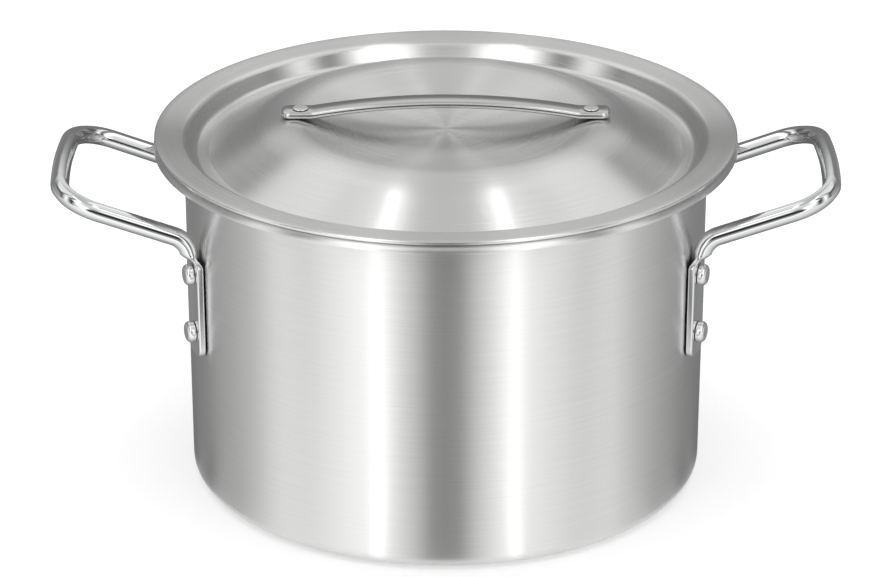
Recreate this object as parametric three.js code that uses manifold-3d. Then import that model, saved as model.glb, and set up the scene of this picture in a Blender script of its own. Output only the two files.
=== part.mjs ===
// A round aluminium cooking pot with two riveted side handles and a loose lid.
// Millimetres, +Z up. The origin is the middle of the base, where the pot stands,
// and the handles reach out along X.

import * as THREE from 'three';
import { mergeVertices } from 'three/addons/utils/BufferGeometryUtils.js';
import Module from 'manifold-3d';

const wasm = await Module();
wasm.setup();

// Pot shell, drawn from one sheet, with a turned-down rim
const POT_HEIGHT = 190.5;
const WALL_TOP_RADIUS = 140;
const WALL_BASE_RADIUS = 138.8;
const POT_SHEET = 2.8;
const BASE_CORNER_RADIUS = 8;
const RIM_REACH = 16;
const RIM_FLARE_RADIUS = 5;
const RIM_LIP_DEPTH = 4.3;
const RIM_LIP_BEND_RADIUS = 0.8;

// Lid, pressed from one sheet: flange, plug, trough, crest and a dished middle
const LID_SHEET = 2;
const LID_RIM_INSET = 0.5;
const LID_PLUG_CLEARANCE = 1.2;
const LID_TROUGH_DEPTH = 9.8;
const LID_TROUGH_WIDTH = 7;
const LID_BEND_RADIUS = 3.2;
const LID_FLANGE_BEND_RADIUS = 5.6;
const LID_CREST_RADIUS = 90;
const LID_CREST_RISE = 9.8;
const LID_CREST_BEND_RADIUS = 40;
const LID_DISH_FLAT_RADIUS = 30;
const LID_DISH_RISE = 0.8;
const LID_DISH_BEND_RADIUS = 200;

// Lid handle, a flat strap bent into a low arch
const STRAP_LENGTH = 176;
const STRAP_WIDTH = 14;
const STRAP_THICKNESS = 3.7;
const STRAP_FOOT_LENGTH = 17;
const STRAP_ARCH_RISE = 6.2;
const STRAP_END_RADIUS = 5;
const STRAP_RIVET_MARGIN = 10.5;
const STRAP_RIVET_HEAD_RADIUS = 4.2;
const STRAP_RIVET_HEAD_HEIGHT = 1.4;
const STRAP_RIVET_SHANK_RADIUS = 2.3;

// Side handle, a round bar whose ends are pressed flat against the wall
const HANDLE_BAR_RADIUS = 5;
const HANDLE_REACH = 205.3;
const HANDLE_GRIP_SPAN = 105.6;
const HANDLE_LEG_INSET = 1.1;
const HANDLE_BEND_HEIGHT = 150.2;
const HANDLE_BEND_RADIUS = 11;
const HANDLE_CORNER_RADIUS = 22;
const HANDLE_GRIP_LEAN_DEGREES = 3.5;
const HANDLE_GRIP_BOW_RADIUS = 400;
const HANDLE_RISE_DEGREES = 19.2;
const LEG_WIDTH = 18.5;
const LEG_THICKNESS = 3.7;
const LEG_END_RADIUS = 5;
const LEG_EDGE_RADIUS = 1.1;
const LEG_SHOULDER_LENGTH = 14;
const LEG_SHOULDER_BELOW_BEND = 4.5;
const RIVET_BELOW_BEND = 19.4;
const RIVET_SPACING = 33;
const RIVET_FOOT_MARGIN = 12.8;
const RIVET_HEAD_RADIUS = 5.7;
const RIVET_HEAD_HEIGHT = 4.5;
const RIVET_SHANK_RADIUS = 3;

// Fits shared by all riveted and resting pieces
const SEAT_GAP = 0.3;
const HOLE_CLEARANCE = 0.25;
const HOLE_OVERRUN = 8;
const TAIL_HEAD_HEIGHT = 1.5;
const TAIL_HEAD_OVER_SHANK = 1.8;
const TAIL_SEAT_GAP = 0.45;

// Facets: sides of a full turn, the angle that one step of a bend may cover, and steps of a curve
const SHELL_SIDES = 60;
const RIVET_SIDES = 12;
const BAR_SIDES = 12;
const BEND_STEP = Math.PI / 8;
const RIVET_DOME_STEPS = 4;
const LEG_END_STEPS = 4;
const STRAP_ARCH_STEPS = 14;
const STRAP_CORNER_STEPS = 4;

const aluminium = { color: 0xc9cbcc, roughness: 0.34, metalness: 1 };
const FINISHES = {
  pot: new THREE.MeshStandardMaterial(aluminium),
  lid: new THREE.MeshStandardMaterial({ ...aluminium, color: 0xc2c4c5 }),
  handle: new THREE.MeshStandardMaterial({ color: 0xd9dbdd, roughness: 0.08, metalness: 1 }),
  strap: new THREE.MeshStandardMaterial({ color: 0xa9abad, roughness: 0.22, metalness: 1 }),
  rivet: new THREE.MeshStandardMaterial({ color: 0xd3d4d4, roughness: 0.2, metalness: 1 }),
};

// Places that follow from the sizes above
const rimRadius = WALL_TOP_RADIUS + RIM_REACH;
const rimUnderside = POT_HEIGHT - POT_SHEET;
const wallTaper = Math.atan2(WALL_TOP_RADIUS - WALL_BASE_RADIUS, rimUnderside);
const lidFlangeTop = POT_HEIGHT + SEAT_GAP + LID_SHEET;
const lidPlugRadius = WALL_TOP_RADIUS - POT_SHEET / Math.cos(wallTaper) - LID_PLUG_CLEARANCE - LID_SHEET;
const lidTroughFloor = lidFlangeTop - LID_TROUGH_DEPTH;

/** Outer radius of the pot wall at a height. */
function wallRadius(height) {
  return WALL_BASE_RADIUS + height * Math.tan(wallTaper);
}

/** Follows corner points and rounds each corner that has a radius with an arc. */
function roundedPath(corners) {
  const path = [];
  corners.forEach(({ at, radius = 0 }, index) => {
    if (radius === 0) {
      path.push(at.clone());
      return;
    }
    const back = corners[index - 1].at.clone().sub(at).normalize();
    const ahead = corners[index + 1].at.clone().sub(at).normalize();
    const turn = Math.PI - Math.acos(THREE.MathUtils.clamp(back.dot(ahead), -1, 1));
    const tangentLength = radius * Math.tan(turn / 2);
    const start = at.clone().addScaledVector(back, tangentLength);
    const inward = ahead.clone().addScaledVector(back, -ahead.dot(back)).normalize();
    const centre = start.clone().addScaledVector(inward, radius);
    const steps = Math.max(2, Math.ceil(turn / BEND_STEP));
    for (let step = 0; step <= steps; step += 1) {
      const angle = (turn * step) / steps;
      const point = centre.clone().addScaledVector(inward, -radius * Math.cos(angle));
      path.push(point.addScaledVector(back, -radius * Math.sin(angle)));
    }
  });
  return path;
}

/** A corner of a flat outline, as roundedPath takes it. */
function corner(x, y, radius = 0) {
  return { at: new THREE.Vector2(x, y), radius };
}

/** A copy of a flat line, moved sideways to its left by a distance. */
function offsetLine(points, distance) {
  return points.map((point, index) => {
    const before = points[Math.max(index - 1, 0)];
    const after = points[Math.min(index + 1, points.length - 1)];
    const into = point.clone().sub(index === 0 ? after : before).multiplyScalar(index === 0 ? -1 : 1);
    const out = after.clone().sub(index === points.length - 1 ? before : point);
    const left = [into.normalize(), out.normalize()].map((along) => new THREE.Vector2(-along.y, along.x));
    const mitre = left[0].clone().add(left[1]).divideScalar(1 + left[0].dot(left[1]));
    return point.clone().addScaledVector(mitre, distance);
  });
}

/** Turns a profile of (radius, height) points round Z. */
function revolved(profile, sides) {
  return new THREE.LatheGeometry(profile, sides).rotateX(Math.PI / 2);
}

/** A closed geometry as a solid that can be joined and cut. */
function solidOf(geometry) {
  const bare = geometry.clone();
  bare.deleteAttribute('normal');
  bare.deleteAttribute('uv');
  const merged = mergeVertices(bare);
  const mesh = new wasm.Mesh({
    numProp: 3,
    vertProperties: Float32Array.from(merged.attributes.position.array),
    triVerts: Uint32Array.from(merged.index.array),
  });
  return new wasm.Manifold(mesh);
}

/** A solid as a geometry. */
function geometryOf(solid) {
  const { vertProperties, triVerts } = solid.getMesh();
  const geometry = new THREE.BufferGeometry();
  geometry.setAttribute('position', new THREE.BufferAttribute(vertProperties, 3));
  geometry.setIndex(new THREE.BufferAttribute(triVerts, 1));
  geometry.computeVertexNormals();
  return geometry;
}

/** A geometry with each of the cutters taken out of it. */
function cutBy(geometry, cutters) {
  const cut = cutters.reduce((solid, cutter) => solid.subtract(solidOf(cutter)), solidOf(geometry));
  return geometryOf(cut);
}

/** A named mesh. */
function piece(name, geometry, finish) {
  const mesh = new THREE.Mesh(geometry, finish);
  mesh.name = name;
  return mesh;
}

/**
 * A rivet along Z, with the seat of its domed head at Z = 0 and its tail below.
 * The grip is the stack of sheets that it holds.
 */
function rivetGeometry(headRadius, headHeight, shankRadius, grip) {
  const tailRadius = shankRadius + TAIL_HEAD_OVER_SHANK;
  const tailTop = -grip - TAIL_SEAT_GAP;
  const profile = [
    new THREE.Vector2(0, tailTop - TAIL_HEAD_HEIGHT),
    new THREE.Vector2(tailRadius - TAIL_HEAD_HEIGHT / 2, tailTop - TAIL_HEAD_HEIGHT),
    new THREE.Vector2(tailRadius, tailTop - TAIL_HEAD_HEIGHT / 2),
    new THREE.Vector2(tailRadius, tailTop),
    new THREE.Vector2(shankRadius, tailTop),
    new THREE.Vector2(shankRadius, SEAT_GAP),
  ];
  for (let step = 0; step < RIVET_DOME_STEPS; step += 1) {
    const angle = (Math.PI / 2) * (step / RIVET_DOME_STEPS);
    const height = SEAT_GAP + (headHeight - SEAT_GAP) * Math.sin(angle);
    profile.push(new THREE.Vector2(headRadius * Math.cos(angle), height));
  }
  profile.push(new THREE.Vector2(0, headHeight));
  return revolved(profile, RIVET_SIDES);
}

/** The hole for a rivet, whose place is its seat, long enough to pass the whole grip. */
function rivetHole(shankRadius, grip, place) {
  const radius = shankRadius + HOLE_CLEARANCE;
  const length = 2 * (grip + HOLE_OVERRUN);
  return new THREE.CylinderGeometry(radius, radius, length, RIVET_SIDES)
    .rotateX(Math.PI / 2)
    .applyMatrix4(place);
}

/** The closed section of the pot's sheet, from the axis out to the lip and back. */
function potProfile() {
  const lipInner = rimRadius - POT_SHEET;
  const outside = roundedPath([
    corner(0, 0),
    corner(WALL_BASE_RADIUS, 0, BASE_CORNER_RADIUS),
    corner(WALL_TOP_RADIUS, rimUnderside, RIM_FLARE_RADIUS),
    corner(lipInner, rimUnderside, RIM_LIP_BEND_RADIUS),
    corner(lipInner, POT_HEIGHT - RIM_LIP_DEPTH),
  ]);
  return [...outside, ...offsetLine(outside, POT_SHEET).reverse()];
}

/** The lid's upper surface as (radius, height) points, from the axis to the edge. */
function lidTopLine() {
  const crestFoot = lidPlugRadius - LID_TROUGH_WIDTH;
  const dishHeight = lidFlangeTop + LID_DISH_RISE;
  return roundedPath([
    corner(0, dishHeight),
    corner(LID_DISH_FLAT_RADIUS, dishHeight, LID_DISH_BEND_RADIUS),
    corner(LID_CREST_RADIUS, lidFlangeTop + LID_CREST_RISE, LID_CREST_BEND_RADIUS),
    corner(crestFoot, lidTroughFloor, LID_BEND_RADIUS),
    corner(lidPlugRadius, lidTroughFloor, LID_BEND_RADIUS),
    corner(lidPlugRadius, lidFlangeTop, LID_FLANGE_BEND_RADIUS),
    corner(rimRadius - LID_RIM_INSET, lidFlangeTop),
  ]);
}

/** Heights of a profile's points whose radius lies in a range, with its two ends added. */
function heightsBetween(line, inner, outer) {
  const heightAt = (radius) => {
    const next = line.findIndex((point) => point.x >= radius);
    const low = line[Math.max(next - 1, 0)];
    const high = line[next];
    const share = high.x > low.x ? (radius - low.x) / (high.x - low.x) : 0;
    return THREE.MathUtils.lerp(low.y, high.y, share);
  };
  const inside = line.filter((point) => point.x > inner && point.x < outer).map((point) => point.y);
  return [heightAt(inner), ...inside, heightAt(outer)];
}

/** One section of the handle's bar, with rounded corners, as points across the bar. */
function barSection(halfWidth, wallSide, outSide, cornerRadius) {
  const points = [];
  const perCorner = BAR_SIDES / 4;
  const across = halfWidth - cornerRadius;
  const middles = [
    [across, outSide - cornerRadius],
    [-across, outSide - cornerRadius],
    [-across, wallSide + cornerRadius],
    [across, wallSide + cornerRadius],
  ];
  middles.forEach(([x, y], quarter) => {
    for (let step = 0; step < perCorner; step += 1) {
      const angle = (Math.PI / 2) * (quarter + (step + 0.5) / perCorner);
      points.push([x + cornerRadius * Math.cos(angle), y + cornerRadius * Math.sin(angle)]);
    }
  });
  return points;
}

/** The bar's section between pressed flat (0) and round (1). */
function pressedSection(roundness, halfWidth = LEG_WIDTH / 2) {
  const mix = (flat, round) => THREE.MathUtils.lerp(flat, round, roundness);
  const bar = HANDLE_BAR_RADIUS;
  return barSection(
    mix(halfWidth, bar),
    -bar,
    mix(LEG_THICKNESS - bar, bar),
    mix(LEG_EDGE_RADIUS, bar),
  );
}

/** Joins closed rings of points, all with the same count, into one capped solid. */
function loft(rings) {
  const positions = rings.flat().flatMap((point) => point.toArray());
  const indices = [];
  const sides = rings[0].length;
  for (let ring = 0; ring + 1 < rings.length; ring += 1) {
    for (let side = 0; side < sides; side += 1) {
      const a = ring * sides + side;
      const b = ring * sides + ((side + 1) % sides);
      indices.push(a, b, b + sides, a, b + sides, a + sides);
    }
  }
  const last = (rings.length - 1) * sides;
  for (let side = 1; side + 1 < sides; side += 1) {
    indices.push(0, side + 1, side, last, last + side, last + side + 1);
  }
  const geometry = new THREE.BufferGeometry();
  geometry.setAttribute('position', new THREE.Float32BufferAttribute(positions, 3));
  geometry.setIndex(indices);
  geometry.computeVertexNormals();
  return geometry;
}

// The bar's centre line stands this far off the wall, and the legs at this angle from the X axis
const legOffset = HANDLE_BAR_RADIUS + SEAT_GAP;
const legHalfSpan = HANDLE_GRIP_SPAN / 2 - HANDLE_LEG_INSET;
const legAngle = Math.asin(legHalfSpan / (wallRadius(HANDLE_BEND_HEIGHT) + legOffset));

// Heights along a leg, counted down from the bend
const upperRivetHeight = HANDLE_BEND_HEIGHT - RIVET_BELOW_BEND;
const lowerRivetHeight = upperRivetHeight - RIVET_SPACING;
const legBottomHeight = lowerRivetHeight - RIVET_FOOT_MARGIN;

/** A point on the line of a leg at a height; side is -1 for the front leg and 1 for the rear one. */
function legPoint(height, side) {
  const radius = wallRadius(height) + legOffset / Math.cos(wallTaper);
  return new THREE.Vector3(radius * Math.cos(legAngle), side * radius * Math.sin(legAngle), height);
}

/**
 * The places along the front half of the bar, from its foot to the middle of the grip.
 * The grip bows out a little: a shallow arc at its middle leans in on both sides to the corners.
 */
function frontHalfStations() {
  const bend = legPoint(HANDLE_BEND_HEIGHT, -1);
  const rise = THREE.MathUtils.degToRad(HANDLE_RISE_DEGREES);
  const lean = THREE.MathUtils.degToRad(HANDLE_GRIP_LEAN_DEGREES);
  const onLoop = (x, y) => new THREE.Vector3(x, y, HANDLE_BEND_HEIGHT + (x - bend.x) * Math.tan(rise));
  const bowHalf = HANDLE_GRIP_BOW_RADIUS * Math.tan(lean / 2);
  const cornerDrop = (HANDLE_GRIP_SPAN / 2 - bowHalf) * Math.tan(lean) * Math.cos(rise);
  const foot = legPoint(legBottomHeight, -1);
  const line = roundedPath([
    { at: foot },
    { at: bend, radius: HANDLE_BEND_RADIUS },
    { at: onLoop(HANDLE_REACH - cornerDrop, -HANDLE_GRIP_SPAN / 2), radius: HANDLE_CORNER_RADIUS },
    { at: onLoop(HANDLE_REACH, -bowHalf), radius: HANDLE_GRIP_BOW_RADIUS },
    { at: onLoop(HANDLE_REACH, bowHalf) },
  ]).slice(0, -1);
  const up = line[1].clone().sub(foot).normalize();
  const stations = [];
  for (let step = 0; step <= LEG_END_STEPS; step += 1) {
    const angle = (Math.PI / 2) * (step / LEG_END_STEPS);
    const along = LEG_END_RADIUS * (1 - Math.cos(angle));
    const halfWidth = LEG_WIDTH / 2 - LEG_END_RADIUS * (1 - Math.sin(angle));
    const at = foot.clone().addScaledVector(up, along);
    stations.push({ at, section: pressedSection(0, halfWidth) });
  }
  const shoulder = line[1].clone().addScaledVector(up, -LEG_SHOULDER_BELOW_BEND);
  const halfway = shoulder.clone().lerp(line[1], 0.5);
  let travelled = 0;
  let previous = shoulder;
  [shoulder, halfway, ...line.slice(1)].forEach((at) => {
    travelled += at.distanceTo(previous);
    previous = at;
    const roundness = THREE.MathUtils.smoothstep(travelled, 0, LEG_SHOULDER_LENGTH);
    stations.push({ at, section: pressedSection(roundness) });
  });
  return stations;
}

/** The right-hand handle: one bar from the front foot, out round the grip, to the rear foot. */
function handleGeometry() {
  const stations = frontHalfStations();
  const across = new THREE.Vector3();
  const front = stations.map(({ at, section }, index) => {
    const before = stations[Math.max(index - 1, 0)].at;
    const after = stations[Math.min(index + 1, stations.length - 1)].at;
    const into = at.clone().sub(before).normalize();
    const out = after.clone().sub(at).normalize();
    const along = index + 1 < stations.length ? into.add(out).normalize() : new THREE.Vector3(0, 1, 0);
    if (index === 0) {
      across.set(Math.cos(legAngle), -Math.sin(legAngle), 0).cross(along).normalize();
    } else {
      across.addScaledVector(along, -across.dot(along)).normalize();
    }
    const depth = new THREE.Vector3().crossVectors(along, across);
    return section.map(([x, y]) => at.clone().addScaledVector(across, x).addScaledVector(depth, y));
  });
  const mirrored = (point) => new THREE.Vector3(point.x, -point.y, point.z);
  const rear = front.slice(0, -1).reverse().map((ring) => ring.map(mirrored));
  return loft([...front, ...rear]);
}

/** The rivets of the right-hand handle: which leg, which height, and the place of each seat. */
function handleRivets() {
  const heights = { upper: upperRivetHeight, lower: lowerRivetHeight };
  return [-1, 1].flatMap((side) =>
    Object.entries(heights).map(([level, height]) => {
      const outward = new THREE.Vector3(
        Math.cos(wallTaper) * Math.cos(legAngle),
        Math.cos(wallTaper) * Math.sin(legAngle) * side,
        -Math.sin(wallTaper),
      );
      const seat = legPoint(height, side).addScaledVector(outward, LEG_THICKNESS - HANDLE_BAR_RADIUS);
      const turn = new THREE.Quaternion().setFromUnitVectors(new THREE.Vector3(0, 0, 1), outward);
      const place = new THREE.Matrix4().compose(seat, turn, new THREE.Vector3(1, 1, 1));
      return { side, level, place };
    }),
  );
}

const handleGrip = LEG_THICKNESS + SEAT_GAP + POT_SHEET;
const halfTurn = new THREE.Matrix4().makeRotationZ(Math.PI);

/** The pot shell with its rivet holes, the two handles and their rivets. */
function potGroup() {
  const group = new THREE.Group();
  const rivets = handleRivets();
  const holes = rivets.map(({ place }) => rivetHole(RIVET_SHANK_RADIUS, handleGrip, place));
  const farHoles = holes.map((hole) => hole.clone().applyMatrix4(halfTurn));
  const shell = cutBy(revolved(potProfile(), SHELL_SIDES), [...holes, ...farHoles]);
  group.add(piece('pot_shell', shell, FINISHES.pot));
  const handle = cutBy(handleGeometry(), holes);
  const rivet = rivetGeometry(RIVET_HEAD_RADIUS, RIVET_HEAD_HEIGHT, RIVET_SHANK_RADIUS, handleGrip);
  ['right', 'left'].forEach((handName, index) => {
    const hand = new THREE.Group();
    hand.rotation.z = index * Math.PI;
    hand.add(piece(`${handName}_handle`, handle, FINISHES.handle));
    rivets.forEach(({ side, level, place }) => {
      const leg = (side < 0) === (handName === 'right') ? 'front' : 'rear';
      const mesh = piece(`${handName}_handle_rivet_${leg}_${level}`, rivet, FINISHES.rivet);
      mesh.applyMatrix4(place);
      hand.add(mesh);
    });
    group.add(hand);
  });
  return group;
}

/** The strap's side view, swept across its width and cut to round ends. */
function strapGeometry(footUnderside) {
  const halfArch = STRAP_LENGTH / 2 - STRAP_FOOT_LENGTH;
  const archRadius = (halfArch ** 2 + STRAP_ARCH_RISE ** 2) / (2 * STRAP_ARCH_RISE);
  const archAngle = Math.asin(halfArch / archRadius);
  const underside = [new THREE.Vector2(-STRAP_LENGTH / 2, footUnderside)];
  for (let step = 0; step <= STRAP_ARCH_STEPS; step += 1) {
    const angle = archAngle * ((2 * step) / STRAP_ARCH_STEPS - 1);
    const height = footUnderside + STRAP_ARCH_RISE - archRadius * (1 - Math.cos(angle));
    underside.push(new THREE.Vector2(archRadius * Math.sin(angle), height));
  }
  underside.push(new THREE.Vector2(STRAP_LENGTH / 2, footUnderside));
  const sideView = [...underside, ...offsetLine(underside, STRAP_THICKNESS).reverse()];
  const bar = new THREE.ExtrudeGeometry(new THREE.Shape(sideView), {
    depth: STRAP_WIDTH,
    bevelEnabled: false,
  });
  bar.rotateX(Math.PI / 2).translate(0, STRAP_WIDTH / 2, 0);
  const x = STRAP_LENGTH / 2;
  const y = STRAP_WIDTH / 2;
  const plan = new THREE.Shape()
    .moveTo(STRAP_END_RADIUS - x, -y)
    .lineTo(x - STRAP_END_RADIUS, -y)
    .absarc(x - STRAP_END_RADIUS, STRAP_END_RADIUS - y, STRAP_END_RADIUS, -Math.PI / 2, 0)
    .absarc(x - STRAP_END_RADIUS, y - STRAP_END_RADIUS, STRAP_END_RADIUS, 0, Math.PI / 2)
    .absarc(STRAP_END_RADIUS - x, y - STRAP_END_RADIUS, STRAP_END_RADIUS, Math.PI / 2, Math.PI)
    .absarc(STRAP_END_RADIUS - x, STRAP_END_RADIUS - y, STRAP_END_RADIUS, Math.PI, 1.5 * Math.PI);
  const outline = new THREE.ExtrudeGeometry(plan, {
    depth: STRAP_ARCH_RISE + 3 * STRAP_THICKNESS,
    bevelEnabled: false,
    curveSegments: STRAP_CORNER_STEPS,
  });
  outline.translate(0, 0, footUnderside - STRAP_THICKNESS);
  return geometryOf(solidOf(bar).intersect(solidOf(outline)));
}

/** The lid shell, its strap and the two rivets that hold the strap. */
function lidGroup() {
  const group = new THREE.Group();
  const topLine = lidTopLine();
  const underLine = offsetLine(topLine, -LID_SHEET);
  const footInner = STRAP_LENGTH / 2 - STRAP_FOOT_LENGTH;
  const footReach = Math.hypot(STRAP_LENGTH / 2, STRAP_WIDTH / 2);
  const footUnderside = Math.max(...heightsBetween(topLine, footInner, footReach)) + SEAT_GAP;
  const rivetX = STRAP_LENGTH / 2 - STRAP_RIVET_MARGIN;
  const tailReach = STRAP_RIVET_SHANK_RADIUS + TAIL_HEAD_OVER_SHANK;
  const tailSeat = Math.min(...heightsBetween(underLine, rivetX - tailReach, rivetX + tailReach));
  const seatHeight = footUnderside + STRAP_THICKNESS;
  const grip = seatHeight - tailSeat;
  const places = [-1, 1].map((side) => new THREE.Matrix4().makeTranslation(side * rivetX, 0, seatHeight));
  const holes = places.map((place) => rivetHole(STRAP_RIVET_SHANK_RADIUS, grip, place));
  const shell = revolved([...underLine, ...topLine.reverse()], SHELL_SIDES);
  group.add(piece('lid_shell', cutBy(shell, holes), FINISHES.lid));
  group.add(piece('lid_strap', cutBy(strapGeometry(footUnderside), holes), FINISHES.strap));
  const rivet = rivetGeometry(
    STRAP_RIVET_HEAD_RADIUS,
    STRAP_RIVET_HEAD_HEIGHT,
    STRAP_RIVET_SHANK_RADIUS,
    grip,
  );
  ['left', 'right'].forEach((name, index) => {
    const mesh = piece(`lid_rivet_${name}`, rivet, FINISHES.rivet);
    mesh.applyMatrix4(places[index]);
    group.add(mesh);
  });
  return group;
}

const cookingPot = new THREE.Group();
cookingPot.add(potGroup(), lidGroup());

export default cookingPot;
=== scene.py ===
"""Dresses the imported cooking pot: fine meshes and metal finishes on the fixed frame, in a small studio."""

import logging
import math
from collections.abc import Callable, Iterator
from contextlib import contextmanager
from dataclasses import dataclass, field
from enum import Enum

import bmesh
import bpy
from mathutils import Matrix, Vector


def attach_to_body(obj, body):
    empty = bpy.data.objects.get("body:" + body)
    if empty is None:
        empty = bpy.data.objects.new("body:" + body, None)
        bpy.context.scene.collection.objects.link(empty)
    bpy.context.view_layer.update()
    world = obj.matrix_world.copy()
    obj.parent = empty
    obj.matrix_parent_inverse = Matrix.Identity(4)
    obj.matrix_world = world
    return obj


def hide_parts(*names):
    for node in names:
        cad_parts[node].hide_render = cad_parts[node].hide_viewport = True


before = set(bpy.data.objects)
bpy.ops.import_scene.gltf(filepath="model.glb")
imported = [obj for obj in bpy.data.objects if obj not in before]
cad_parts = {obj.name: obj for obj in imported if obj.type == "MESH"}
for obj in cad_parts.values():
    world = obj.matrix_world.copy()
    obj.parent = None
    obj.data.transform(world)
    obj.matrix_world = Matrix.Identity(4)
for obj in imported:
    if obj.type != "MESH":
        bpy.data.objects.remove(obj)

MM = 0.001
MERGE_DISTANCE = 1e-6
PICK_DISTANCE = 2e-5
SEAM_DISTANCE = 1e-4
UP = Vector((0, 0, 1))
DOWN = -UP

log = logging.getLogger("cooking_pot")


class Side(Enum):
    """The two sides of the pot that carry a handle, each with its turn from the right-hand side."""

    RIGHT = 0.0
    LEFT = math.pi


class Leg(Enum):
    """The two legs of a handle, each with the sign of its Y on the right-hand side."""

    FRONT = -1
    REAR = 1


class Level(Enum):
    """The two rivets of a leg."""

    UPPER = "upper"
    LOWER = "lower"


class Grain(Enum):
    """How a surface was brushed: round the pot's wall, or on a lathe about the lid's centre."""

    ROUND_THE_WALL = "wall"
    ROUND_THE_CENTRE = "centre"


@dataclass(frozen=True)
class Corner:
    """One corner of a drawn line, as a place in millimetres and the radius that rounds it."""

    at: tuple[float, float, float]
    radius: float = 0.0


def linear(hex_colour: str) -> tuple[float, float, float, float]:
    """Turns an sRGB hex colour into a linear one.

    Args:
        hex_colour: Six hex digits after a hash sign.

    Returns:
        Red, green, blue and an alpha of 1.
    """
    channels = [int(hex_colour[k : k + 2], 16) / 255 for k in (1, 3, 5)]
    red, green, blue = [c / 12.92 if c <= 0.04045 else ((c + 0.055) / 1.055) ** 2.4 for c in channels]
    return red, green, blue, 1.0


def add_node(
    tree: bpy.types.NodeTree,
    kind: str,
    inputs: dict[str | int, object] | None = None,
    **settings: object,
) -> bpy.types.Node:
    """Adds a node with its settings and links.

    Args:
        tree: The tree that takes the node.
        kind: The node's type name.
        inputs: What goes into each input: a socket to link, or a value to set.
        settings: The node's own properties.

    Returns:
        The new node.
    """
    node = tree.nodes.new(kind)
    for name, value in settings.items():
        setattr(node, name, value)
    for name, value in (inputs or {}).items():
        if isinstance(value, bpy.types.NodeSocket):
            tree.links.new(value, node.inputs[name])
        else:
            node.inputs[name].default_value = value
    return node


def new_tree(material: bpy.types.Material) -> bpy.types.NodeTree:
    """Empties a material's node tree.

    Args:
        material: The material to start afresh.

    Returns:
        Its empty tree.
    """
    material.use_nodes = True
    material.node_tree.nodes.clear()
    return material.node_tree


# Modelling by hand


def pick(piece: bpy.types.Object) -> None:
    """Makes one object the only selected one, and the active one."""
    bpy.ops.object.select_all(action="DESELECT")
    piece.select_set(True)
    bpy.context.view_layer.objects.active = piece


@contextmanager
def editing(piece: bpy.types.Object) -> Iterator[None]:
    """Works on a piece in edit mode, with vertices picked.

    Args:
        piece: The mesh object to edit.

    Yields:
        Nothing, while edit mode is on.
    """
    pick(piece)
    bpy.ops.object.mode_set(mode="EDIT")
    bpy.ops.mesh.select_mode(type="VERT")
    yield
    bpy.ops.object.mode_set(mode="OBJECT")


def select_where(piece: bpy.types.Object, test: Callable[[Vector], bool]) -> None:
    """Selects the vertices whose place passes a test, and what lies between them.

    Args:
        piece: The mesh object in edit mode.
        test: Says whether a vertex at a place is selected.
    """
    bpy.ops.mesh.select_all(action="DESELECT")
    mesh = bmesh.from_edit_mesh(piece.data)
    for vertex in mesh.verts:
        vertex.select = test(vertex.co)
    mesh.select_flush_mode()
    bmesh.update_edit_mesh(piece.data)


def extrude(step: Vector | tuple[float, float, float]) -> None:
    """Extrudes what is selected by a step in metres."""
    bpy.ops.mesh.extrude_region_move(TRANSFORM_OT_translate={"value": tuple(step)})


def start_point(name: str, at: Vector) -> bpy.types.Object:
    """Makes a mesh of a single vertex, from a plane that is merged at its centre.

    Args:
        name: The piece's name.
        at: The vertex's place in metres.

    Returns:
        The new object, at the origin.
    """
    bpy.ops.object.select_all(action="DESELECT")
    bpy.ops.mesh.primitive_plane_add(size=MM)
    piece = bpy.context.object
    piece.name = name
    piece.data.name = name
    with editing(piece):
        bpy.ops.mesh.select_all(action="SELECT")
        bpy.ops.mesh.merge(type="CENTER")
        bpy.ops.transform.translate(value=at)
    return piece


def round_corner(piece: bpy.types.Object, before: Vector, at: Vector, after: Vector, radius: float) -> None:
    """Rounds one corner of a drawn line with a bevel.

    Args:
        piece: The line's object, in edit mode.
        before: The corner before it.
        at: The corner to round.
        after: The corner after it.
        radius: The radius in metres.
    """
    turn = (at - before).angle(after - at)
    finest_turn = math.radians(5)
    longest_step = 2.5 * MM
    select_where(piece, lambda place: (place - at).length < PICK_DISTANCE)
    bpy.ops.mesh.bevel(
        offset=radius * math.tan(turn / 2),
        segments=max(4, math.ceil(turn / finest_turn), math.ceil(radius * turn / longest_step)),
        profile=0.5,
        affect="VERTICES",
    )


def draw_line(name: str, corners: list[Corner]) -> bpy.types.Object:
    """Draws a line through corners by extruding a vertex, and rounds each corner that has a radius.

    Args:
        name: The piece's name.
        corners: The corners in order.

    Returns:
        The object that holds the line.
    """
    places = [Vector(corner.at) * MM for corner in corners]
    piece = start_point(name, places[0])
    with editing(piece):
        bpy.ops.mesh.select_all(action="SELECT")
        for here, there in zip(places, places[1:]):
            extrude(there - here)
        for index in range(1, len(corners) - 1):
            if corners[index].radius > 0:
                round_corner(piece, *places[index - 1 : index + 2], corners[index].radius * MM)
        bpy.ops.mesh.select_all(action="SELECT")
        bpy.ops.mesh.remove_doubles(threshold=PICK_DISTANCE)
    return piece


def split_long_edges(piece: bpy.types.Object, longest: float) -> None:
    """Subdivides the edges of a drawn line that are longer than a length.

    Args:
        piece: The line's object, in edit mode.
        longest: The length in metres.
    """
    mesh = bmesh.from_edit_mesh(piece.data)
    long_edges = [edge for edge in mesh.edges if edge.calc_length() > longest]
    spans = [tuple(vertex.co.copy() for vertex in edge.verts) for edge in long_edges]
    for first, second in spans:
        select_where(
            piece,
            lambda place: min((place - first).length, (place - second).length) < PICK_DISTANCE,
        )
        bpy.ops.mesh.subdivide(number_cuts=math.ceil((second - first).length / longest) - 1)


def close_up() -> None:
    """Merges doubled vertices and turns all faces outwards, in edit mode."""
    bpy.ops.mesh.select_all(action="SELECT")
    bpy.ops.mesh.remove_doubles(threshold=MERGE_DISTANCE)
    bpy.ops.mesh.normals_make_consistent(inside=False)


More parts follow.
